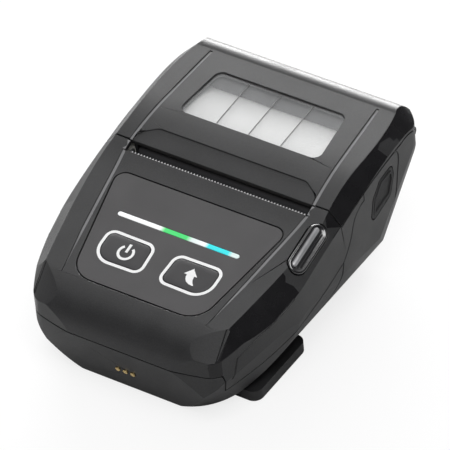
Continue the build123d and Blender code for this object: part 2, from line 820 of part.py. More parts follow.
with BuildPart() as key_switches:
    for side in (-1, 1):
        u = side * switch_at[0]
        panel_block(
            (u - 2.6, u + 2.6), (switch_at[1] - 2.6, switch_at[1] + 2.6), (-board_gap, -board_gap + 1.5)
        )
        panel_post(u, switch_at[1], (-board_gap + 1, -board_gap + 1.9), 1.2)
save(key_switches, "key_switches")

with BuildPart() as status_leds:
    for u in led_u:
        panel_block((u - 1.0, u + 1.0), (light_bar_v - 0.6, light_bar_v + 0.6), (-board_gap, -board_gap + 0.8))
save(status_leds, "status_leds")

chip_top = -board_gap - board_thickness - seat_gap
with BuildPart() as board_chips:
    panel_block((-6, 6), (-9, 3), (chip_top - 1.0, chip_top))
    panel_block((10, 16), (-4, 4), (chip_top - 0.8, chip_top))
    panel_block((-18, -10), (-6, -1), (chip_top - 0.9, chip_top))
    panel_block((-12, 12), (8.0, 12.5), (chip_top - 2.4, chip_top))
save(board_chips, "board_chips")

with BuildPart() as board_screws:
    for u, v in board_posts:
        panel_post(u, v, (chip_top - 1.0, chip_top), 1.6)
        panel_post(u, v, (chip_top - 0.1, -2.6), 0.9)
        panel_block((u - 1.1, u + 1.1), (v - 0.25, v + 0.25), (chip_top - 1.5, chip_top - 0.5), mode=Mode.SUBTRACT)
        panel_block((u - 0.25, u + 0.25), (v - 1.1, v + 1.1), (chip_top - 1.5, chip_top - 0.5), mode=Mode.SUBTRACT)
save(board_screws, "board_screws")

# Tear bar, bent down behind its teeth
teeth = round(2 * tear_half / tooth_pitch)
tear_root = tear_tip - tooth_depth
edge = [(-tear_half, tear_root)]
for index in range(teeth):
    edge.append((-tear_half + (index + 0.5) * tooth_pitch, tear_tip))
    edge.append((-tear_half + (index + 1) * tooth_pitch, tear_root))
with BuildPart() as tear_bar:
    with BuildSketch(tear_plane.offset(-tear_bar_thickness)) as strip:
        with BuildLine():
            Polyline(edge + [(tear_half, tear_root - tear_bar_depth), (-tear_half, tear_root - tear_bar_depth)], close=True)
        make_face()
    extrude(amount=tear_bar_thickness)
    block((-11, 11), (chassis_front_y + plate_thickness + seat_gap, -2.9), (31.0, 36.1))
save(tear_bar, "tear_bar")

# Print mechanism: bent frame, head, motor and gears
with BuildPart() as print_chassis:
    for x in both((plate_x, plate_x + plate_thickness)):
        add(side_prism([(chassis_front_y, chassis_floor_z)] + plate_outline, x))
    block((-plate_x, plate_x), (chassis_front_y, chassis_front_y + plate_thickness), bridge_z)
    block((-plate_x, plate_x), chassis_floor_y, (chassis_floor_z, chassis_floor_z + plate_thickness))
    rod((-40, 40), platen_y, platen_z, bush_radius + turning_gap, mode=Mode.SUBTRACT)
    block(
        (-40, 40),
        (platen_y - bush_radius - turning_gap, platen_y + bush_radius + turning_gap),
        (platen_z, 40),
        mode=Mode.SUBTRACT,
    )
    rod((-40, -20), pinion_y, pinion_z, motor_shaft_radius + 0.75, mode=Mode.SUBTRACT)
    for x in chassis_screw_x:
        post(x, chassis_screw_y, (chassis_floor_z - 1, chassis_floor_z + 2), 1.0, mode=Mode.SUBTRACT)
save(print_chassis, "print_chassis")

chassis_floor_top = chassis_floor_z + plate_thickness
with BuildPart() as chassis_screws:
    for x in chassis_screw_x:
        post(x, chassis_screw_y, (chassis_floor_top + seat_gap, chassis_floor_top + 1.1), 1.7)
        post(x, chassis_screw_y, (4.0, chassis_floor_top + 0.2), 0.9)
save(chassis_screws, "chassis_screws")

with BuildPart() as print_head:
    block((-head_half, head_half), (head_face_y - head_thickness, head_face_y), head_z)
save(print_head, "print_head")

heatsink_back_y = head_face_y - head_thickness - seat_gap
with BuildPart() as head_heatsink:
    block((-heatsink_half, heatsink_half), (heatsink_back_y - heatsink_thickness, heatsink_back_y), heatsink_z)
    for index in range(9):
        x = (index - 4) * 6.0
        block((x - 0.5, x + 0.5), (0, heatsink_back_y - heatsink_thickness + 0.6), (26.8, 29.0), mode=Mode.SUBTRACT)
save(head_heatsink, "head_heatsink")

spring_y = (chassis_front_y + plate_thickness + seat_gap, heatsink_back_y - heatsink_thickness - seat_gap)
with BuildPart() as head_springs:
    for x in (-head_spring_x, head_spring_x):
        with Locations(Plane(origin=(x, sum(spring_y) / 2, head_spring_z), z_dir=(0, 1, 0))):
            Cylinder(head_spring_radius, spring_y[1] - spring_y[0])
            Cylinder(head_spring_radius - 0.5, 10, mode=Mode.SUBTRACT)
save(head_springs, "head_springs")

with BuildPart() as platen_roller:
    rod((-platen_half, platen_half), platen_y, platen_z, platen_radius)
    rod((-40, 40), platen_y, platen_z, shaft_radius + 0.02, mode=Mode.SUBTRACT)
save(platen_roller, "platen_roller")

with BuildPart() as platen_shaft:
    rod((gear_x[0] - 0.4, 33.0), platen_y, platen_z, shaft_radius)
save(platen_shaft, "platen_shaft")

with BuildPart() as platen_bushes:
    for x in both((arm_x[1] + 0.1, 32.6)):
        rod(x, platen_y, platen_z, bush_radius)
    rod((-40, 40), platen_y, platen_z, shaft_radius + shaft_clearance, mode=Mode.SUBTRACT)
save(platen_bushes, "platen_bushes")

gear_width = gear_x[1] - gear_x[0]
with BuildPart() as platen_gear:
    extrude(gear_face(platen_teeth, gear_x[0], platen_y, platen_z, -90), amount=gear_width)
    rod((-40, -30), platen_y, platen_z, shaft_radius + 0.02, mode=Mode.SUBTRACT)
save(platen_gear, "platen_gear")

with BuildPart() as idler_gear:
    extrude(gear_face(idler_teeth, gear_x[0], idler_y, idler_z, idler_phase), amount=gear_width)
    rod((gear_x[0] - 1, gear_x[0] + 0.6), idler_y, idler_z, 4.6, mode=Mode.SUBTRACT)
    rod((gear_x[0], gear_x[1] + 1.0), idler_y, idler_z, 2.2)
    rod((-40, -30), idler_y, idler_z, idler_pin_radius + shaft_clearance, mode=Mode.SUBTRACT)
save(idler_gear, "idler_gear")

plate_outer = plate_x + plate_thickness
with BuildPart() as idler_pin:
    rod((gear_x[0] - 0.8, -plate_outer - 0.02), idler_y, idler_z, idler_pin_radius)
save(idler_pin, "idler_pin")

motor_end = -plate_x + seat_gap
with BuildPart() as drive_motor:
    rod((motor_end, motor_end + motor_length), pinion_y, pinion_z, motor_radius)
    rod((motor_end + motor_length, motor_end + motor_length + 1.2), pinion_y, pinion_z, 2.2)
    rod((motor_end - 1, motor_end + 9), pinion_y, pinion_z, motor_shaft_radius + shaft_clearance, mode=Mode.SUBTRACT)
save(drive_motor, "drive_motor")

with BuildPart() as motor_shaft:
    rod((gear_x[0] - 0.3, motor_end + 8.5), pinion_y, pinion_z, motor_shaft_radius)
save(motor_shaft, "motor_shaft")

with BuildPart() as motor_pinion:
    extrude(gear_face(pinion_teeth, gear_x[0], pinion_y, pinion_z, pinion_phase), amount=gear_width)
    rod((-40, -30), pinion_y, pinion_z, motor_shaft_radius + 0.02, mode=Mode.SUBTRACT)
save(motor_pinion, "motor_pinion")

# Release lever and the latch it turns
with BuildPart() as release_lever:
    extrude(lever_face(lever_length, lever_width, -lever_pad_depth - 0.1), amount=lever_pad_depth + 0.1 + lever_proud)
    flange_low = -lever_pad_depth - seat_gap - lever_flange[2]
    with BuildSketch(lever_plane.offset(flange_low)) as flange:
        with Locations(((lever_flange[0] + lever_flange[1]) / 2, 0)):
            SlotOverall(lever_flange[1] - lever_flange[0], lever_width - 0.2)
    extrude(flange.sketch, amount=lever_flange[2])
    with BuildSketch(lever_plane.offset(lever_proud - 0.1)) as ridges:
        for across in (-0.9, -2.0):
            with Locations((0, across)):
                SlotOverall(lever_length - 4.5, 0.5)
    extrude(ridges.sketch, amount=0.4)
save(release_lever, "release_lever")

with BuildPart() as latch_bar:
    for x in both((latch_x, latch_x + latch_thickness)):
        add(side_prism(latch_hook, x))
        add(side_prism(latch_crank, x))
        rod(x, latch_pivot[0], latch_pivot[1], latch_boss_radius)
    add(side_prism(latch_tab, (latch_x, latch_x + latch_thickness)))
    block((latch_x, latch_tab_x), (latch_tab[3][0], latch_tab[2][0]), (latch_tab[2][1] - 0.8, latch_tab[2][1]))
    rod((-latch_x - 0.4, latch_x + 0.4), latch_bar_centre[0], latch_bar_centre[1], latch_bar_radius)
    rod((-40, 40), latch_pivot[0], latch_pivot[1], latch_pin_radius + shaft_clearance, mode=Mode.SUBTRACT)
save(latch_bar, "latch_bar")

with BuildPart() as latch_pins:
    for x in both((plate_outer + 0.02, latch_x + latch_thickness + 0.5)):
        rod(x, latch_pivot[0], latch_pivot[1], latch_pin_radius)
save(latch_pins, "latch_pins")

with BuildPart() as latch_spring:
    spring_top = latch_bar_centre[1] - latch_bar_radius - seat_gap
    post(latch_spring_x, latch_bar_centre[0], (latch_spring_z + seat_gap, spring_top), 1.7)
    post(latch_spring_x, latch_bar_centre[0], (0, 40), 1.2, mode=Mode.SUBTRACT)
save(latch_spring, "latch_spring")

# Paper roll, its bin and the paper sensor
with BuildPart() as paper_roll:
    rod((-roll_width / 2, roll_width / 2), roll_y, roll_z, roll_radius)
    rod((-40, 40), roll_y, roll_z, core_radius + 0.02, mode=Mode.SUBTRACT)
save(paper_roll, "paper_roll")

with BuildPart() as roll_core:
    rod((-roll_width / 2, roll_width / 2), roll_y, roll_z, core_radius)
    rod((-40, 40), roll_y, roll_z, core_radius - core_wall, mode=Mode.SUBTRACT)
save(roll_core, "roll_core")

bin_half = bin_inner_half + bin_wall
with BuildPart() as paper_bin:
    rod((-bin_half, bin_half), roll_y, roll_z, bin_radius + bin_wall)
    rod((-bin_inner_half, bin_inner_half), roll_y, roll_z, bin_radius, mode=Mode.SUBTRACT)
    block((-40, 40), (0, 60), (bin_top_z, 60), mode=Mode.SUBTRACT)
save(paper_bin, "paper_bin")

with BuildPart() as paper_sensor:
    block((-4, 4), (6.9, roll_y - bin_radius - bin_wall - 0.1), (24.4, 28.4))
    block((-3.2, -0.4), (7.2, 9.1), (28.4, 28.9))
    block((0.4, 3.2), (7.2, 9.1), (28.4, 28.9))
save(paper_sensor, "paper_sensor")

# Battery, its slide and its terminals
with BuildPart() as battery_pack:
    extrude(
        pack_outline(flange_half, flange_y, 3.0, battery_clear_z), amount=flange_top_z - battery_clear_z
    )
    extrude(pack_outline(battery_half, battery_y, 2.0, battery_clear_z), amount=battery_top_z - battery_clear_z)
save(battery_pack, "battery_pack")

floor_z = base_z + wall
with BuildPart() as battery_latch:
    block((-catch_half, catch_half), catch_y, (base_z + 0.2, floor_z + 0.8))
    block((-catch_half - 1.5, catch_half + 1.5), catch_y, (floor_z + 0.1, floor_z + 1.0))
    block((-3, 3), (flange_y[1] + pack_gap, catch_y[0] + 0.5), (floor_z + 0.15, floor_z + 0.9))
    for y in (-10.6, -10.0, -9.4):
        block((-4.5, 4.5), (y - 0.15, y + 0.15), (0, base_z + 0.5), mode=Mode.SUBTRACT)
save(battery_latch, "battery_latch")

terminal_z = battery_top_z + pack_margin + seat_gap
with BuildPart() as battery_terminals:
    block((-6, 6), (terminal_y[0] - 1, terminal_y[1] + 1), (terminal_z, terminal_z + 1.6))
    for x in terminal_x:
        block((x - 0.6, x + 0.6), terminal_y, (battery_top_z + pack_gap, terminal_z + 0.5))
save(battery_terminals, "battery_terminals")

with BuildPart() as case_screws:
    for x, y, seat_z, tip_z, top_z in case_screw_at:
        for side in (-1, 1):
            post(side * x, y, (seat_z - seat_gap - screw_head[1], seat_z - seat_gap), screw_head[0])
            post(side * x, y, (seat_z - 0.2, tip_z), screw_radius)
            head_z_low = seat_z - seat_gap - screw_head[1]
            for reach_x, reach_y in ((1.1, 0.25), (0.25, 1.1)):
                block(
                    (side * x - reach_x, side * x + reach_x),
                    (y - reach_y, y + reach_y),
                    (head_z_low - 1, head_z_low + 0.7),
                    mode=Mode.SUBTRACT,
                )
save(case_screws, "case_screws")

# Side port behind its rubber flap
with BuildPart() as port_cover:
    extrude(port_face(0, port_x[0]), amount=4)
    add(outer, mode=Mode.INTERSECT)
    ring = port_face(-1.0, port_x[0] + 0.2)
    extrude(ring, amount=port_x[1] - port_x[0] - 0.2)
    extrude(port_face(-1.7, port_x[1] - 0.4), amount=2, mode=Mode.SUBTRACT)
save(port_cover, "port_cover")

with BuildPart() as usb_port:
    with BuildSketch(Plane(origin=(usb_x, usb_y, usb_z), x_dir=(0, 1, 0), z_dir=(1, 0, 0))):
        SlotOverall(9.0, 3.3)
    extrude(amount=5.35)
    with BuildSketch(Plane(origin=(usb_x + 0.85, usb_y, usb_z), x_dir=(0, 1, 0), z_dir=(1, 0, 0))):
        SlotOverall(8.3, 2.6)
    extrude(amount=6, mode=Mode.SUBTRACT)
    block((usb_x + 0.65, usb_x + 4.75), (usb_y - 3.3, usb_y + 3.3), (usb_z - 0.35, usb_z + 0.35))
save(usb_port, "usb_port")

with BuildPart() as port_board:
    block((usb_x - 1.05, usb_x - seat_gap), (20.4, 33.0), (26.4, 35.4))
save(port_board, "port_board")

# Charging contacts in the front facet
with BuildPart() as charge_contacts:
    for x in contact_x:
        with Locations(facet_plane * Location((x, contact_v, -0.9))):
            Cylinder(contact_radius, 2.4)
save(charge_contacts, "charge_contacts")

with BuildPart() as contact_block:
    with Locations(facet_plane * Location((0, contact_v, -2.75))):
        Box(9.0, 4.0, 1.2)
save(contact_block, "contact_block")

with BuildPart() as feet:
    with BuildSketch():
        for side in (-1, 1):
            with Locations((side * pad_foot[0], pad_foot[1])):
                RectangleRounded(pad_foot[2], pad_foot[3], 1.4)
            with Locations((side * round_foot[0], round_foot[1])):
                Circle(round_foot[2])
    extrude(amount=base_z - seat_gap)
save(feet, "feet")
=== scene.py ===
"""Looks of the portable receipt printer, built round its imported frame.

Places are in metres, and the tables of the object's own measures are in millimetres.
"""

import json
import math
from itertools import combinations

import bmesh
import bpy
from mathutils import Matrix, Vector
from mathutils.bvhtree import BVHTree
from mathutils.geometry import barycentric_transform
from mathutils.kdtree import KDTree

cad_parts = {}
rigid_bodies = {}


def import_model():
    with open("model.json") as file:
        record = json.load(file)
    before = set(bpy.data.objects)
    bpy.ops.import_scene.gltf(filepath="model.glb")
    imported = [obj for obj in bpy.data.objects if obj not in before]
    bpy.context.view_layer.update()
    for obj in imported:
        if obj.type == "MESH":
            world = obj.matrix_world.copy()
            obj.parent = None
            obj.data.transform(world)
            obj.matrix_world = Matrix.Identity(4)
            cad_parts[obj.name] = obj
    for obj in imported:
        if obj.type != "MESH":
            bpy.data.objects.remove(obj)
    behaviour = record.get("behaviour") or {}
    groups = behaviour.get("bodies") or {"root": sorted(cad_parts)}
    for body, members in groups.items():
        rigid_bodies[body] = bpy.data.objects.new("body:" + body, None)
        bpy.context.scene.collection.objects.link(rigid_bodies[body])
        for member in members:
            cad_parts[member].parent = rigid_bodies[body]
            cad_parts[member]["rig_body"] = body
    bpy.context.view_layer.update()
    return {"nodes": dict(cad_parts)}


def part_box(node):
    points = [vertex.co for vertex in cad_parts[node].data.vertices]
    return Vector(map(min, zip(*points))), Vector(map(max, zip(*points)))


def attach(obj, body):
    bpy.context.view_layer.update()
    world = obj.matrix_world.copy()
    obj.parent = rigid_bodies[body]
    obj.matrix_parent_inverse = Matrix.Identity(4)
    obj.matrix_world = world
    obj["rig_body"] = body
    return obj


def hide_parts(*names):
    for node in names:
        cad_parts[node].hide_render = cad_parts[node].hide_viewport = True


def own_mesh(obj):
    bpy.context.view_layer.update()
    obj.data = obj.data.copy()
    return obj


MM = 0.001

for leftover in list(bpy.data.objects):
    bpy.data.objects.remove(leftover)
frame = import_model()
nodes = frame["nodes"]


# Camera, floor and light

CAMERA_RIGHT = Vector((0.8383, 0.5402, -0.0749))
CAMERA_UP = Vector((-0.3074, 0.5815, 0.7532))
CAMERA_BACK = Vector((0.4504, -0.6083, 0.6535))
CAMERA_PLACE = Vector((716.43, -964.0, 1060.81)) * MM
LENS = 447.3

FLOOR_HALF = 6.0
FLOOR_WHITE = 0.8
FLOOR_SEEN = 0.86
FLOOR_BOUNCE = 0.55

# Where the sky is brightest, and its tone from the dark side to there
SKY_TOWARDS = (-0.45, 0.35, 0.82)
SKY_TONES = ((0.0, (0.04, 0.04, 0.042)), (0.42, (0.12, 0.12, 0.122)), (0.92, (0.72, 0.72, 0.72)))

# Soft rectangular lamps: (name, place, size, watts)
LAMPS = (
    ("key_light", (0.45, -0.35, 1.35), (1.0, 1.0), 15),
    ("rear_light", (-0.62, 1.15, 0.33), (1.1, 0.4), 32),
    ("left_light", (-1.3, 0.25, 0.35), (0.5, 0.4), 2),
)
LAMP_TARGET = Vector((0, 0, 0.03))


def set_camera():
    lens = bpy.data.cameras.new("camera")
    lens.lens = LENS
    lens.sensor_width = 36.0
    lens.clip_start = 0.05
    lens.clip_end = 50.0
    camera = bpy.data.objects.new("camera", lens)
    turned = Matrix((CAMERA_RIGHT, CAMERA_UP, CAMERA_BACK)).transposed()
    camera.matrix_world = Matrix.Translation(CAMERA_PLACE) @ turned.to_4x4()
    bpy.context.scene.collection.objects.link(camera)
    bpy.context.scene.camera = camera


def new_material(name):
    """A material with a Principled shader: (material, node tree, shader)."""
    made = bpy.data.materials.new(name)
    made.use_nodes = True
    return made, made.node_tree, made.node_tree.nodes["Principled BSDF"]


def lay_floor():
    """A white floor to the camera, which throws less light back at the object."""
    made = bpy.data.materials.new("floor_paper")
    made.use_nodes = True
    tree = made.node_tree
    tree.nodes.clear()
    out = tree.nodes.new("ShaderNodeOutputMaterial")
    matt = tree.nodes.new("ShaderNodeBsdfDiffuse")
    white = tree.nodes.new("ShaderNodeEmission")
    white.inputs["Color"].default_value = (1, 1, 1, 1)
    white.inputs["Strength"].default_value = 1.0
    path = tree.nodes.new("ShaderNodeLightPath")
    through = tree.nodes.new("ShaderNodeMath")
    through.operation = "MAXIMUM"
    tree.links.new(path.outputs["Is Camera Ray"], through.inputs[0])
    tree.links.new(path.outputs["Is Transmission Ray"], through.inputs[1])
    dimmed = tree.nodes.new("ShaderNodeMapRange")
    dimmed.inputs["To Min"].default_value = FLOOR_BOUNCE
    dimmed.inputs["To Max"].default_value = FLOOR_SEEN
    tree.links.new(through.outputs[0], dimmed.inputs["Value"])
    tree.links.new(dimmed.outputs["Result"], matt.inputs["Color"])
    share = tree.nodes.new("ShaderNodeMath")
    share.operation = "MULTIPLY"
    share.inputs[1].default_value = FLOOR_WHITE
    tree.links.new(through.outputs[0], share.inputs[0])
    mixed = tree.nodes.new("ShaderNodeMixShader")
    tree.links.new(share.outputs[0], mixed.inputs["Fac"])
    tree.links.new(matt.outputs[0], mixed.inputs[1])
    tree.links.new(white.outputs[0], mixed.inputs[2])
    tree.links.new(mixed.outputs[0], out.inputs["Surface"])
    mesh = bpy.data.meshes.new("floor")
    corners = [(x * FLOOR_HALF, y * FLOOR_HALF, 0) for x, y in ((-1, -1), (1, -1), (1, 1), (-1, 1))]
    mesh.from_pydata(corners, [], [(0, 1, 2, 3)])
    mesh.materials.append(made)
    floor = bpy.data.objects.new("floor", mesh)
    bpy.context.scene.collection.objects.link(floor)


def area_light(name, place, size, watts):
    """A soft rectangular lamp that points at the middle of the printer."""
    lamp = bpy.data.lights.new(name, "AREA")
    lamp.shape = "RECTANGLE"
    lamp.size, lamp.size_y = size
    lamp.energy = watts
    holder = bpy.data.objects.new(name, lamp)
    holder.location = place
    towards = LAMP_TARGET - Vector(place)
    holder.rotation_euler = towards.to_track_quat("-Z", "Y").to_euler()
    bpy.context.scene.collection.objects.link(holder)


def light_studio():
    world = bpy.data.worlds.new("studio")
    world.use_nodes = True
    tree = world.node_tree
    tree.nodes.clear()
    out = tree.nodes.new("ShaderNodeOutputWorld")
    sky = tree.nodes.new("ShaderNodeBackground")
    place = tree.nodes.new("ShaderNodeTexCoord")
    along = tree.nodes.new("ShaderNodeVectorMath")
    along.operation = "DOT_PRODUCT"
    along.inputs[1].default_value = SKY_TOWARDS
    tree.links.new(place.outputs["Generated"], along.inputs[0])
    tree.links.new(ramp_of(tree, along.outputs["Value"], SKY_TONES), sky.inputs["Color"])
    sky.inputs["Strength"].default_value = 1.0
    tree.links.new(sky.outputs[0], out.inputs["Surface"])
    bpy.context.scene.world = world
    for lamp in LAMPS:
        area_light(*lamp)


# Finishes

LIGHT_BAR_HALF = 20.3


def coordinates(tree, scale=(1, 1, 1)):
    """Object coordinates in millimetres, through a Mapping node."""
    where = tree.nodes.new("ShaderNodeTexCoord")
    mapping = tree.nodes.new("ShaderNodeMapping")
    mapping.inputs["Scale"].default_value = [1000 * s for s in scale]
    tree.links.new(where.outputs["Object"], mapping.inputs["Vector"])
    return mapping.outputs["Vector"]


def noise(tree, vector, scale, detail=2.0, rough=0.5):
    made = tree.nodes.new("ShaderNodeTexNoise")
    made.inputs["Scale"].default_value = scale
    made.inputs["Detail"].default_value = detail
    made.inputs["Roughness"].default_value = rough
    tree.links.new(vector, made.inputs["Vector"])
    return made.outputs["Fac"]


def spread_of(tree, value, low, high):
    """A noise value spread from low to high."""
    made = tree.nodes.new("ShaderNodeMapRange")
    made.inputs["From Min"].default_value = 0.3
    made.inputs["From Max"].default_value = 0.7
    made.inputs["To Min"].default_value = low
    made.inputs["To Max"].default_value = high
    tree.links.new(value, made.inputs["Value"])
    return made.outputs["Result"]


def ramp_of(tree, value, stops):
    """A colour ramp over (place, colour) stops."""
    made = tree.nodes.new("ShaderNodeValToRGB")
    bars = made.color_ramp.elements
    while len(bars) < len(stops):
        bars.new(0.5)
    for bar, (where, colour) in zip(bars, stops):
        bar.position = where
        bar.color = (*colour, 1)
    tree.links.new(value, made.inputs["Fac"])
    return made.outputs["Color"]


def bumped(tree, value, strength, depth):
    """A fine relief of the given depth in millimetres."""
    made = tree.nodes.new("ShaderNodeBump")
    made.inputs["Strength"].default_value = strength
    made.inputs["Distance"].default_value = depth * MM
    tree.links.new(value, made.inputs["Height"])
    return made.outputs["Normal"]


def moulded(name, colour, rough, grain=0.35, depth=0.03, mottle=0.12, gloss=0.5, speck=None, coat=0.0):
    """Moulded plastic or rubber: fine grain, faint clouds of colour, uneven sheen."""
    made, tree, shader = new_material(name)
    links = tree.links
    where = coordinates(tree)
    clouds = noise(tree, where, 0.12, 3)
    fine = noise(tree, where, 1 / grain, 2, 0.6)
    low = [c * (1 - mottle) for c in colour]
    high = [c * (1 + mottle) for c in colour]
    tone = ramp_of(tree, clouds, [(0.3, low), (0.7, high)])
    if speck:
        dots = ramp_of(tree, fine, [(0.35, (0, 0, 0)), (0.75, [speck] * 3)])
        lit = tree.nodes.new("ShaderNodeMix")
        lit.data_type = "RGBA"
        lit.blend_type = "ADD"
        lit.inputs["Factor"].default_value = 1.0
        links.new(tone, lit.inputs["A"])
        links.new(dots, lit.inputs["B"])
        tone = lit.outputs["Result"]
    links.new(tone, shader.inputs["Base Color"])
    links.new(spread_of(tree, clouds, rough - 0.04, rough + 0.05), shader.inputs["Roughness"])
    links.new(bumped(tree, fine, 0.6, depth), shader.inputs["Normal"])
    shader.inputs["Specular IOR Level"].default_value = gloss
    shader.inputs["Coat Weight"].default_value = coat
    return made


def metal(name, colour, rough, along=(1, 1, 1), depth=0.01):
    """Bare metal with a brushed or rolled grain drawn out along one way."""
    made, tree, shader = new_material(name)
    links = tree.links
    where = coordinates(tree, along)
    grain = noise(tree, where, 3.0, 3, 0.6)
    low = [c * 0.85 for c in colour]
    high = [min(1.0, c * 1.1) for c in colour]
    links.new(ramp_of(tree, grain, [(0.3, low), (0.7, high)]), shader.inputs["Base Color"])
    links.new(spread_of(tree, grain, rough - 0.06, rough + 0.1), shader.inputs["Roughness"])
    links.new(bumped(tree, grain, 0.3, depth), shader.inputs["Normal"])
    shader.inputs["Metallic"].default_value = 1.0
    return made


def clear_window():
    made, tree, shader = new_material("clear_window")
    links = tree.links
    haze = noise(tree, coordinates(tree), 0.25, 2)
    tone = ramp_of(tree, haze, [(0.3, (0.78, 0.79, 0.80)), (0.7, (0.84, 0.85, 0.86))])
    links.new(tone, shader.inputs["Base Color"])
    links.new(spread_of(tree, haze, 0.06, 0.12), shader.inputs["Roughness"])
    shader.inputs["Alpha"].default_value = 0.16
    return made


def status_light():
    """The bar's diffuser: white with a green and a blue-green stretch, as lit."""
    made, tree, shader = new_material("status_light")
    links = tree.links
    where = coordinates(tree)
    split = tree.nodes.new("ShaderNodeSeparateXYZ")
    links.new(where, split.inputs[0])
    reach = tree.nodes.new("ShaderNodeMapRange")
    reach.inputs["From Min"].default_value = -LIGHT_BAR_HALF
    reach.inputs["From Max"].default_value = LIGHT_BAR_HALF
    links.new(split.outputs["X"], reach.inputs["Value"])
    white, green, blue = (0.82, 0.84, 0.84), (0.06, 0.62, 0.16), (0.03, 0.66, 0.70)
    pale = (0.62, 0.72, 0.70)
    stops = [
        (0.0, white), (0.35, white), (0.39, green), (0.57, green), (0.61, pale), (0.72, white),
        (0.75, blue), (0.91, blue), (0.945, pale), (1.0, pale),
    ]
    tone = ramp_of(tree, reach.outputs["Result"], stops)
    links.new(tone, shader.inputs["Base Color"])
    links.new(tone, shader.inputs["Emission Color"])
    shader.inputs["Emission Strength"].default_value = 0.25
    links.new(spread_of(tree, noise(tree, where, 1.2), 0.3, 0.42), shader.inputs["Roughness"])
    return made


def paper():
    made, tree, shader = new_material("thermal_paper")
    links = tree.links
    fibre = noise(tree, coordinates(tree, (0.3, 1, 1)), 2.2, 3, 0.6)
    tone = ramp_of(tree, fibre, [(0.3, (0.80, 0.80, 0.79)), (0.7, (0.88, 0.88, 0.87))])
    links.new(tone, shader.inputs["Base Color"])
    links.new(spread_of(tree, fibre, 0.55, 0.7), shader.inputs["Roughness"])
    links.new(bumped(tree, fibre, 0.3, 0.01), shader.inputs["Normal"])
    return made


finishes = {
    "shell": moulded("shell_plastic", (0.017, 0.017, 0.018), 0.46, 0.34, 0.04, 0.10, 0.55, 0.012),
    # The groove floors' lighter grey is a painted highlight.
    "groove_highlight": moulded("groove_painted_highlight", (0.20, 0.20, 0.205), 0.34, 0.34, 0.02, 0.1, 0.6),
    # The band's darker colour is partly its own glossy black and partly painted shade; on the nose's corners
    # it is painted shade.
    "band": moulded("band_plastic_and_painted_shade", (0.009, 0.0087, 0.0097), 0.26, 0.5, 0.006, 0.1, 0.4),
    "panel": moulded("panel_film", (0.062, 0.060, 0.062), 0.42, 0.7, 0.006, 0.05, 0.45),
    "key": moulded("key_film", (0.046, 0.045, 0.047), 0.34, 0.7, 0.006, 0.05, 0.5),
    "print": moulded("white_print", (0.86, 0.86, 0.86), 0.5, 0.4, 0.004, 0.02),
    "lever": moulded("lever_gloss", (0.010, 0.0095, 0.011), 0.16, 1.5, 0.004, 0.1, 1.0, coat=1.0),
    # The stripe's light grey is a painted highlight.
    "stripe": moulded("lever_stripe_painted_highlight", (0.30, 0.30, 0.31), 0.24, 1.5, 0.004, 0.25, 1.0, coat=1.0),
    "battery": moulded("battery_plastic", (0.016, 0.016, 0.017), 0.5, 0.4, 0.03, 0.1),
    "rubber": moulded("flap_rubber", (0.026, 0.026, 0.027), 0.62, 0.4, 0.03, 0.1, 0.35),
    "foot": moulded("foot_rubber", (0.02, 0.02, 0.02), 0.75, 0.5, 0.04, 0.1, 0.3),
    "platen": moulded("platen_rubber", (0.022, 0.022, 0.024), 0.55, 0.5, 0.02, 0.06, 0.4),
    "bin": moulded("bin_plastic", (0.022, 0.022, 0.023), 0.48, 0.5, 0.02, 0.08),
    "gear": moulded("gear_plastic", (0.72, 0.71, 0.66), 0.38, 0.8, 0.006, 0.03),
    "board": moulded("board_lacquer", (0.012, 0.09, 0.035), 0.3, 1.1, 0.01, 0.2),
    "chip": moulded("chip_resin", (0.012, 0.012, 0.012), 0.5, 0.3, 0.015, 0.1),
    "ceramic": moulded("head_ceramic", (0.30, 0.26, 0.22), 0.22, 0.8, 0.004, 0.05),
    "core": moulded("core_plastic", (0.55, 0.52, 0.46), 0.5, 0.5, 0.02, 0.06),
    "led": moulded("led_lens", (0.75, 0.74, 0.66), 0.25, 0.8, 0.004, 0.04),
    "steel": metal("bright_steel", (0.72, 0.72, 0.73), 0.26, (0.1, 1, 1)),
    "sheet": metal("plated_sheet", (0.50, 0.51, 0.52), 0.36, (1, 0.15, 1)),
    "motor": metal("motor_can", (0.30, 0.30, 0.31), 0.34, (0.1, 1, 1)),
    "gilt": metal("gilt", (0.93, 0.68, 0.30), 0.3),
    "aluminium": metal("heatsink_alloy", (0.60, 0.61, 0.62), 0.34, (0.1, 1, 1)),
    "window": clear_window(),
    "window_line": moulded("window_line", (0.10, 0.10, 0.10), 0.4, 0.4, 0.004, 0.05),
    "light": status_light(),
    "paper": paper(),
}

WORN_BY = {
    "shell": ["lower_case", "upper_case", "paper_cover"],
    "panel": ["control_panel"],
    "window": ["cover_window"],
    "light": ["status_light_bar"],
    "steel": [
        "hinge_pins", "board_screws", "tear_bar", "chassis_screws", "head_springs", "idler_pin",
        "platen_shaft", "motor_shaft", "latch_pins", "latch_spring", "case_screws", "usb_port",
    ],
    "sheet": ["print_chassis", "latch_bar"],
    "motor": ["drive_motor"],
    "gilt": ["battery_terminals", "charge_contacts"],
    "aluminium": ["head_heatsink"],
    "ceramic": ["print_head"],
    "board": ["main_board", "port_board"],
    "chip": ["key_switches", "board_chips", "paper_sensor", "contact_block"],
    "led": ["status_leds"],
    "platen": ["platen_roller"],
    "gear": ["platen_gear", "idler_gear", "motor_pinion", "platen_bushes"],
    "bin": ["paper_bin"],
    "battery": ["battery_pack", "battery_latch"],
    "rubber": ["port_cover"],
    "foot": ["feet"],
    "lever": ["release_lever"],
    "key": ["power_key", "feed_key"],
    "paper": ["paper_roll"],
    "core": ["roll_core"],
}
for finish, worn in WORN_BY.items():
    for node in worn:
        for place in nodes[node].material_slots:
            place.material = finishes[finish]


# Moulded pieces with their edges rounded off

EDGE_WIDTH = 0.18
PANE_EDGE_WIDTH = 0.06

# Faces that meet at more than the first angle make a sharp edge.
# Sharp edges that meet at less than the second are left as they are.
SHARP_ANGLE = math.radians(24)
NARROW_TIP = math.radians(25)

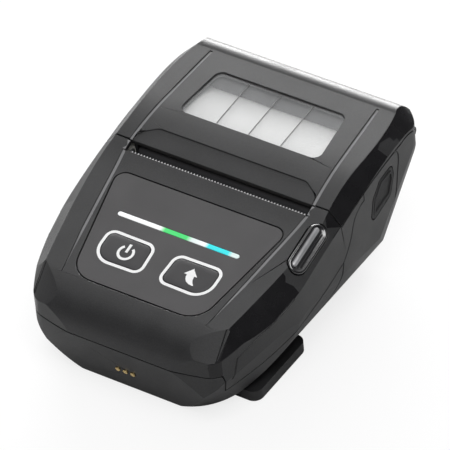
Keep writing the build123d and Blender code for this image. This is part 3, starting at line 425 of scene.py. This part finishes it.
# Corners this near, in metres, are one.
# A corner's normal is read this share of the way to its face's middle.
SAME_PLACE = 2e-6
INTO_FACE = 0.04


def settle(piece, body, slot_name, *stands_for):
    """Gives a finished piece its body and hides the nodes it stands for. Its slot name is not used."""
    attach(piece, body)
    if stands_for:
        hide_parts(*stands_for)


def link(name, mesh, *finish_names):
    """A piece in the scene that wears the named finishes."""
    piece = bpy.data.objects.new(name, mesh)
    for finish in finish_names:
        mesh.materials.append(finishes[finish])
    bpy.context.scene.collection.objects.link(piece)
    return piece


def made_plain(piece):
    """Applies a piece's modifiers, so that what rides is its final mesh."""
    bpy.context.view_layer.update()
    graph = bpy.context.evaluated_depsgraph_get()
    mesh = bpy.data.meshes.new_from_object(
        piece.evaluated_get(graph), preserve_all_data_layers=True, depsgraph=graph
    )
    piece.modifiers.clear()
    piece.data = mesh
    return piece


def sharp_edges(mesh, merged):
    """Marks the merged edges at which the solid's faces meet at an angle, but no narrow tips."""
    weight = merged.edges.layers.float.new("bevel_weight_edge")
    tree = KDTree(len(merged.verts))
    for vert in merged.verts:
        tree.insert(vert.co, vert.index)
    tree.balance()
    place_of = [tree.find(vert.co)[1] for vert in mesh.vertices]
    normals = [corner.vector.copy() for corner in mesh.corner_normals]
    met = {}
    for face in mesh.polygons:
        corners = list(face.loop_indices)
        for i, corner in enumerate(corners):
            after = corners[(i + 1) % len(corners)]
            a = place_of[mesh.loops[corner].vertex_index]
            b = place_of[mesh.loops[after].vertex_index]
            ends = (normals[corner], normals[after]) if a < b else (normals[after], normals[corner])
            met.setdefault((min(a, b), max(a, b)), []).append(ends)
    limit = math.cos(SHARP_ANGLE)
    for edge in merged.edges:
        a, b = sorted(vert.index for vert in edge.verts)
        sides = met.get((a, b), [])
        if len(sides) == 2 and min(one @ two for one, two in zip(*sides)) < limit:
            edge[weight] = 1.0
    narrow = set()
    for vert in merged.verts:
        marked = [edge for edge in vert.link_edges if edge[weight] > 0]
        for pair in combinations(marked, 2):
            ways = [edge.other_vert(vert).co - vert.co for edge in pair]
            if ways[0].angle(ways[1]) < NARROW_TIP:
                narrow.update(pair)
    for edge in narrow:
        edge[weight] = 0.0


def solid_normal(source, corner_normals, triangle, point):
    """The normal of the solid's own face at a point on one of its triangles."""
    places = [source.vertices[index].co for index in triangle.vertices]
    ends = [corner_normals[index] for index in triangle.loops]
    found = barycentric_transform(point, *places, *ends)
    # On a sliver the blend runs off, and one corner's normal is as good
    if not 0.3 < found.length < 2.0:
        found = ends[0].copy()
    return found.normalized()


def dressed_normals(mesh, source, edge_finish):
    """Shades a softened copy as its solid is shaded, and its rounded edges from face to face."""
    source.calc_loop_triangles()
    triangles = list(source.loop_triangles)
    corner_normals = [corner.vector.copy() for corner in source.corner_normals]
    places = [vert.co for vert in source.vertices]
    tree = BVHTree.FromPolygons(places, [tuple(triangle.vertices) for triangle in triangles])
    normals = [Vector((0, 0, 1))] * len(mesh.loops)
    known = {}
    for face in mesh.polygons:
        if face.material_index == edge_finish:
            continue
        for corner in face.loop_indices:
            vert = mesh.loops[corner].vertex_index
            point, _, nearest, _ = tree.find_nearest(mesh.vertices[vert].co.lerp(face.center, INTO_FACE))
            normals[corner] = solid_normal(source, corner_normals, triangles[nearest], point)
            known.setdefault(vert, []).append(normals[corner])
    between = {}
    for face in mesh.polygons:
        if face.material_index == edge_finish:
            for corner in face.loop_indices:
                between.setdefault(mesh.loops[corner].vertex_index, Vector()).xyz += face.normal * face.area
    for face in mesh.polygons:
        if face.material_index != edge_finish:
            continue
        for corner in face.loop_indices:
            vert = mesh.loops[corner].vertex_index
            if vert in known:
                normals[corner] = max(known[vert], key=face.normal.dot)
            elif between[vert].length > 0:
                normals[corner] = between[vert].normalized()
        face.material_index = 0
    mesh.normals_split_custom_set(normals)


def softened(node, name, width, finish_names):
    """A copy of a node with its sharp edges rounded by width millimetres.

    A last material slot marks the new edge faces until their normals are set.
    """
    mesh = nodes[node].data.copy()
    mesh.materials.clear()
    merged = bmesh.new()
    merged.from_mesh(mesh)
    bmesh.ops.remove_doubles(merged, verts=merged.verts, dist=SAME_PLACE)
    merged.verts.index_update()
    sharp_edges(nodes[node].data, merged)
    merged.to_mesh(mesh)
    merged.free()
    for left in ("custom_normal", "sharp_edge", "sharp_face"):
        if left in mesh.attributes:
            mesh.attributes.remove(mesh.attributes[left])
    mesh.shade_smooth()
    piece = link(name, mesh, *finish_names)
    round_off = piece.modifiers.new("round_off", "BEVEL")
    round_off.width = width * MM
    round_off.segments = 2
    round_off.limit_method = "WEIGHT"
    round_off.use_clamp_overlap = False
    round_off.material = len(finish_names)
    mesh.materials.append(finishes["print"])
    made_plain(piece)
    dressed_normals(piece.data, nodes[node].data, len(finish_names))
    piece.data.materials.pop(index=len(finish_names))
    return piece


# The shoulder band, front to rear:
# (y, height of its upper edge, reach of its upper and of its lower edge from the middle, drop between them)
BAND = (
    (-58.0, 26.55, 26.0, 30.4, 5.2), (-41.85, 30.0, 30.5, 34.9, 5.2), (-20.0, 34.66, 34.4, 39.1, 4.9),
    (3.0, 40.25, 35.9, 39.3, 3.9), (22.0, 44.15, 35.4, 38.6, 3.6), (43.0, 45.6, 34.0, 37.4, 3.4),
    (49.0, 45.7, 32.4, 37.2, 5.2),
)
BAND_NEAR = 0.5
BY_LEVER = (-19, 2)

# How far outwards and upwards a face looks that takes the band's darker finish, partly painted shade on the
# band and painted shade on the nose's corners
BAND_LEAN, BAND_RISE = (0.45, 0.93), (0.3, 1)
SHADED_NOSE_LEAN, SHADED_NOSE_RISE = (0.42, 0.88), (-0.3, 0.75)

# The rear end of the nose along Y, and the height of the seam under it
NOSE_END, NOSE_SEAM = -43, 17.7

# The groove beside the panel and the window, front to rear: (y, its inner and outer edge from the middle)
GROOVE = ((-42.5, 24.2, 24.2), (-26.7, 26.4, 27.3), (1.0, 30.3, 31.3), (4.0, 30.3, 31.3), (43.5, 27.8, 28.6))
GROOVE_MARGIN = 0.02
FLOOR_RISE = 0.7


def within(value, limits):
    return limits[0] < value < limits[1]


def at_station(stations, along):
    """The values at a place along Y between two stations, or nothing past the ends."""
    for (front, *near), (rear, *far) in zip(stations, stations[1:]):
        if front <= along <= rear:
            share = (along - front) / (rear - front)
            return [a + (b - a) * share for a, b in zip(near, far)]
    return []


def on_band(place):
    """Whether a place in mm lies on the band's slope."""
    found = at_station(BAND, place.y)
    if not found:
        return False
    top, upper, lower, drop = found
    width = lower - upper
    off = abs((abs(place.x) - upper) * drop - (top - place.z) * width) / math.hypot(drop, width)
    return off < BAND_NEAR


def paint_band_and_shade(piece):
    """Gives the shoulder band and the nose's corners the piece's second, darker finish, but not by the
    lever: on the band it is partly its glossy black and partly painted shade, on the nose's corners it is
    painted shade.
    """
    for face in piece.data.polygons:
        rise, place = face.normal.z, face.center / MM
        lean = face.normal.x * math.copysign(1, place.x)
        banded = within(lean, BAND_LEAN) and within(rise, BAND_RISE) and not within(place.y, BY_LEVER)
        shaded_corner = within(lean, SHADED_NOSE_LEAN) and within(rise, SHADED_NOSE_RISE)
        if (banded and on_band(place)) or (shaded_corner and place.y < NOSE_END and place.z > NOSE_SEAM):
            face.material_index = 1


def paint_groove_highlight(piece):
    """Gives the floor of the long top grooves the piece's third finish, a lighter grey that is a painted
    highlight.
    """
    for face in piece.data.polygons:
        place = face.center / MM
        edges = at_station(GROOVE, place.y)
        if not edges or face.normal.z <= FLOOR_RISE:
            continue
        if within(abs(place.x), (edges[0] + GROOVE_MARGIN, edges[1] - GROOVE_MARGIN)):
            face.material_index = 2


# Each shell's second finish is the darker band, partly painted shade, and its third a painted highlight on
# the groove floors.
for node, name in (
    ("upper_case", "front_housing"), ("paper_cover", "roll_lid"), ("lower_case", "bottom_shell"),
):
    shell = softened(node, name, EDGE_WIDTH, ("shell", "band", "groove_highlight"))
    paint_band_and_shade(shell)
    if node != "lower_case":
        paint_groove_highlight(shell)
    settle(shell, nodes[node]["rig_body"], "shell_plastic", node)


# Panel keys and prints

# A place on the panel is (across, up the slope, out of the face) in mm, from this point and along this slope
PANEL_Y, PANEL_Z = -23.8, 33.85
PANEL_RUN, PANEL_RISE = 0.978, 0.2086
CORNER_STEPS = 10


def on_panel(across, up, out):
    along = PANEL_Y + PANEL_RUN * up - PANEL_RISE * out
    height = PANEL_Z + PANEL_RISE * up + PANEL_RUN * out
    return (across * MM, along * MM, height * MM)


def corner_cut(before, corner, after, inset):
    """The corner of a polygon moved in by inset from both its sides."""
    first = (corner - before).normalized()
    second = (after - corner).normalized()
    sides = [Vector((-first.y, first.x)), Vector((-second.y, second.x))]
    lean = sides[0] + sides[1]
    return corner + lean * (2 * inset / lean.length_squared)


def rounded_loop(outline, grow):
    """Points (x, y) of an anticlockwise outline of (corner, radius), grown by grow."""
    corners = [Vector(point) for point, _ in outline]
    loop = []
    for i, corner in enumerate(corners):
        bend = outline[i][1] + grow
        before, after = corners[i - 1], corners[(i + 1) % len(corners)]
        centre = corner_cut(before, corner, after, bend - grow)
        start = math.atan2(before.x - corner.x, corner.y - before.y)
        stop = math.atan2(corner.x - after.x, after.y - corner.y)
        turn = (stop - start) % (2 * math.pi)
        for step in range(CORNER_STEPS + 1):
            angle = start + turn * step / CORNER_STEPS
            loop.append((centre.x + bend * math.cos(angle), centre.y + bend * math.sin(angle)))
    return loop


def skinned(name, loops, finish, ring=False):
    """A closed skin over loops of equal length, with its first and last loops filled or joined."""
    mesh = bpy.data.meshes.new(name)
    points = [point for loop in loops for point in loop]
    count, faces = len(loops[0]), []
    rows = len(loops) if ring else len(loops) - 1
    for row in range(rows):
        under, over = row * count, ((row + 1) % len(loops)) * count
        for i in range(count):
            j = (i + 1) % count
            faces.append((under + i, under + j, over + j, over + i))
    if not ring:
        faces.append(tuple(reversed(range(count))))
        faces.append(tuple(range((len(loops) - 1) * count, len(loops) * count)))
    mesh.from_pydata(points, [], faces)
    mesh.shade_smooth()
    mesh.set_sharp_from_angle(angle=math.radians(40))
    return link(name, mesh, finish)


def skin_rows(made, loops, finish_place=0):
    """Skins loops of points with both ends closed, in the finish at that place of the piece's own."""
    rows = [[made.verts.new(point) for point in loop] for loop in loops]
    faces = []
    for under, over in zip(rows, rows[1:]):
        for i in range(len(under)):
            j = (i + 1) % len(under)
            faces.append((under[i], under[j], over[j], over[i]))
    for corners in faces + [rows[0][::-1], rows[-1]]:
        made.faces.new(corners).material_index = finish_place


def print_shapes(name, shapes):
    """Thin prints on a key as one mesh. Each shape is a strip: pairs of (left, right) points."""
    low, high = MARK_HEIGHTS
    made = bmesh.new()
    for pairs in shapes:
        loops = []
        for left, right in pairs:
            corners = ((left, low), (right, low), (right, high), (left, high))
            loops.append([on_panel(x, y, out) for (x, y), out in corners])
        skin_rows(made, loops)
    bmesh.ops.recalc_face_normals(made, faces=made.faces)
    mesh = bpy.data.meshes.new(name)
    made.to_mesh(mesh)
    made.free()
    return link(name, mesh, "print")


# Each corner of a key with its radius, in mm on the panel
KEY_OUTLINE = (((2.75, -11.4), 2.8), ((19.35, -11.7), 5.6), ((19.3, -0.55), 2.8), ((3.4, -0.75), 3.0))

# Loops from under the panel over a cap, and round a printed line: (growth of the outline, height)
KEY_CAP = (
    (-0.1, -2.55), (-0.1, -1.68), (-0.95, -1.68), (-0.95, -0.05), (-1.02, 0.06), (-1.3, 0.14),
    (-1.8, 0.21), (-2.4, 0.25), (-2.7, 0.26),
)
KEY_RING = ((-0.7, -0.04), (0.22, -0.04), (0.22, 0.03), (-0.7, 0.03))
MARK_HEIGHTS = (0.2, 0.33)


def key_side(side):
    """The key outline on one side of the panel, anticlockwise."""
    if side > 0:
        return KEY_OUTLINE
    return [((-x, y), radius) for (x, y), radius in reversed(KEY_OUTLINE)]


def key_loops(side, steps):
    """Loops on the panel that follow one key's outline."""
    outline = key_side(side)
    return [[on_panel(x, y, out) for x, y in rounded_loop(outline, grow)] for grow, out in steps]


def key_cap(name, side):
    """A soft domed cap with a hidden flange under the panel."""
    return skinned(name, key_loops(side, KEY_CAP), "key")


def key_ring(name, side):
    """The white line printed round a key."""
    return skinned(name, key_loops(side, KEY_RING), "print", ring=True)


def power_mark():
    """A broken ring with a bar in its gap, as strips."""
    (x, y), outer, inner = (-10.4, -6.4), 2.65, 1.85
    gap, steps = math.radians(38), 40
    ring = []
    for step in range(steps + 1):
        angle = math.pi / 2 + gap + (2 * math.pi - 2 * gap) * step / steps
        way = (math.cos(angle), math.sin(angle))
        ring.append(tuple((x + reach * way[0], y + reach * way[1]) for reach in (outer, inner)))
    left, right, low, high = x - 0.42, x + 0.42, y + 0.1, y + 3.1
    return [ring, [((left, low), (right, low)), ((left, high), (right, high))]]


def feed_mark():
    """An arrow up the panel whose broad stem curls off to the side, as strips."""
    head = [
        ((8.9, -6.0), (13.2, -5.9)), ((10.6, -3.95), (11.15, -3.95)), ((10.85, -3.55), (10.95, -3.55)),
    ]
    stem = [
        ((9.9, -6.0), (12.3, -5.95)), ((10.0, -6.8), (12.35, -6.7)), ((10.35, -7.6), (12.55, -7.35)),
        ((11.0, -8.3), (12.9, -7.95)), ((12.0, -8.8), (13.3, -8.45)), ((13.3, -8.95), (13.65, -8.8)),
    ]
    return [head, stem]


KEYS = (
    ("power_key", "power_cap", -1, "power_button", power_mark()),
    ("feed_key", "feed_cap", 1, "feed_button", feed_mark()),
)
for node, name, side, body, mark in KEYS:
    settle(key_cap(name, side), body, "key_plastic", node)
    settle(print_shapes(name + "_mark", mark), body, "key_plastic")
    settle(key_ring(name + "_ring", side), "housing", "panel_plastic")


# Push lever: a glossy rounded cap with a raised stripe and two thin ridges along it; the stripe's light grey
# is a painted highlight

LEVER_CENTRE = Vector((36.1, -8.0, 35.9))
LEVER_OUT = Vector((0.62, -0.19, 0.76)).normalized()
LEVER_ALONG = Vector((0.0, 0.966, 0.26)).normalized()
LEVER_ACROSS = LEVER_OUT.cross(LEVER_ALONG).normalized()

LEVER_END_STEPS = 12

# The cap, its raised stripe with a painted highlight, and two ridges:
# (place across, loops of (length, width, height), place of the finish)
LEVER_SHAPES = (
    (0.0, ((17.0, 5.8, -2.5), (17.0, 5.8, 0.45), (16.86, 5.66, 0.72), (16.5, 5.3, 0.92), (15.9, 4.7, 1.0),
           (15.4, 4.2, 0.98), (15.0, 3.8, 0.82), (14.6, 3.4, 0.74)), 0),
    (0.85, ((14.0, 1.6, 0.6), (14.0, 1.6, 0.8), (13.9, 1.45, 1.0), (13.6, 1.1, 1.16), (13.2, 0.6, 1.24)), 1),
    (-0.35, ((13.2, 0.5, 0.6), (13.2, 0.5, 0.9), (13.0, 0.3, 1.05)), 0),
    (-1.15, ((12.4, 0.5, 0.6), (12.4, 0.5, 0.9), (12.2, 0.3, 1.05)), 0),
)


def on_lever(along, across, out):
    return (LEVER_CENTRE + LEVER_ALONG * along + LEVER_ACROSS * across + LEVER_OUT * out) * MM


def long_loop(length, width, across, out):
    """A long loop with half-round ends on the lever's face."""
    reach, bend = (length - width) / 2, width / 2
    loop = []
    for end in (1, -1):
        for step in range(LEVER_END_STEPS + 1):
            angle = -math.pi / 2 + math.pi * step / LEVER_END_STEPS
            along = end * (reach + bend * math.cos(angle))
            loop.append(on_lever(along, across + end * bend * math.sin(angle), out))
    return loop


def lever_cap():
    made = bmesh.new()
    for across, steps, finish in LEVER_SHAPES:
        skin_rows(made, [long_loop(length, width, across, out) for length, width, out in steps], finish)
    mesh = bpy.data.meshes.new("lever_cap")
    made.to_mesh(mesh)
    made.free()
    mesh.shade_smooth()
    mesh.set_sharp_from_angle(angle=math.radians(50))
    return link("lever_cap", mesh, "lever", "stripe")


settle(lever_cap(), "lever", "lever_plastic", "release_lever")


# Window, with three thin lines along it

WINDOW_LINES = (-10.8, 0, 10.8)
LINE_REACH = 0.26

pane = softened("cover_window", "window_pane", PANE_EDGE_WIDTH, ("window", "window_line"))
for face in pane.data.polygons:
    across = min(abs(face.center.x / MM - line) for line in WINDOW_LINES)
    if across < LINE_REACH and abs(face.normal.z) > 0.5:
        face.material_index = 1
settle(pane, "cover", "window_plastic", "cover_window")


# Wire springs wound by a node tree

SPRING_INPUTS = (
    ("Radius", "Float"), ("Height", "Float"), ("Turns", "Float"), ("Wire", "Float"),
    ("Place", "Vector"), ("Turn", "Vector"), ("Finish", "Material"),
)


def coil_group():
    """Geometry nodes for a wire spring, along Z before it is turned: (group, {input name: identifier})."""
    group = bpy.data.node_groups.new("wound_spring", "GeometryNodeTree")
    group.interface.new_socket(name="Geometry", in_out="OUTPUT", socket_type="NodeSocketGeometry")
    sizes = {}
    for name, kind in SPRING_INPUTS:
        socket = group.interface.new_socket(name=name, in_out="INPUT", socket_type="NodeSocket" + kind)
        sizes[name] = socket.identifier
    enters, leaves, spiral, wire, skin, moved, smooth, real, worn = [
        group.nodes.new(kind) for kind in (
            "NodeGroupInput", "NodeGroupOutput",
            "GeometryNodeCurveSpiral", "GeometryNodeCurvePrimitiveCircle", "GeometryNodeCurveToMesh",
            "GeometryNodeTransform", "GeometryNodeSetShadeSmooth",
            "GeometryNodeRealizeInstances", "GeometryNodeSetMaterial",
        )
    ]
    spiral.inputs["Resolution"].default_value = 20
    wire.inputs["Resolution"].default_value = 10
    skin.inputs["Fill Caps"].default_value = True
    for source, out, target, into in (
        (enters, "Turns", spiral, "Rotations"),
        (enters, "Radius", spiral, "Start Radius"),
        (enters, "Radius", spiral, "End Radius"),
        (enters, "Height", spiral, "Height"),
        (enters, "Wire", wire, "Radius"),
        (spiral, "Curve", skin, "Curve"),
        (wire, "Curve", skin, "Profile Curve"),
        (skin, "Mesh", moved, "Geometry"),
        (enters, "Place", moved, "Translation"),
        (enters, "Turn", moved, "Rotation"),
        (moved, "Geometry", smooth, "Geometry"),
        (smooth, "Geometry", real, "Geometry"),
        (real, "Geometry", worn, "Geometry"),
        (enters, "Finish", worn, "Material"),
        (worn, "Geometry", leaves, "Geometry"),
    ):
        group.links.new(source.outputs[out], target.inputs[into])
    return group, sizes


def grown(name, group, sizes, values, finish):
    """A plain mesh piece made by a node tree with the given values."""
    piece = link(name, bpy.data.meshes.new(name))
    grow = piece.modifiers.new("grow", "NODES")
    grow.node_group = group
    for label, value in values.items():
        grow[sizes[label]] = value
    grow[sizes["Finish"]] = finishes[finish]
    return made_plain(piece)


spring_group, spring_sizes = coil_group()


def coil_in(name, low, high, turns, wire, lengthwise="z"):
    """A spring that fills the box from low to high, along Y or Z."""
    middle, size = (low + high) / 2, high - low
    values = {"Radius": size.x / 2 - wire, "Turns": turns, "Wire": wire}
    if lengthwise == "z":
        values["Height"] = size.z - 2 * wire
        values["Place"] = (middle.x, middle.y, low.z + wire)
    else:
        values["Height"] = size.y - 2 * wire
        values["Place"] = (middle.x, low.y + wire, middle.z)
        values["Turn"] = (-math.pi / 2, 0, 0)
    return grown(name, spring_group, spring_sizes, values, "steel")


low, high = [Vector(corner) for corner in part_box("latch_spring")]
latch_coil = coil_in("latch_coil", low, high, 6.0, 0.00028)
settle(latch_coil, "housing", "steel", "latch_spring")
for side, name in ((-1, "head_coil_left"), (1, "head_coil_right")):
    wound = [vert.co for vert in nodes["head_springs"].data.vertices if vert.co.x * side > 0]
    ends = [Vector([pick(place[axis] for place in wound) for axis in range(3)]) for pick in (min, max)]
    settle(coil_in(name, *ends, 5.0, 0.0002, "y"), "housing", "steel", "head_springs")
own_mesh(latch_coil)


# The scene round the object

set_camera()
lay_floor()
light_studio()
bpy.context.scene.view_settings.view_transform = "Standard"
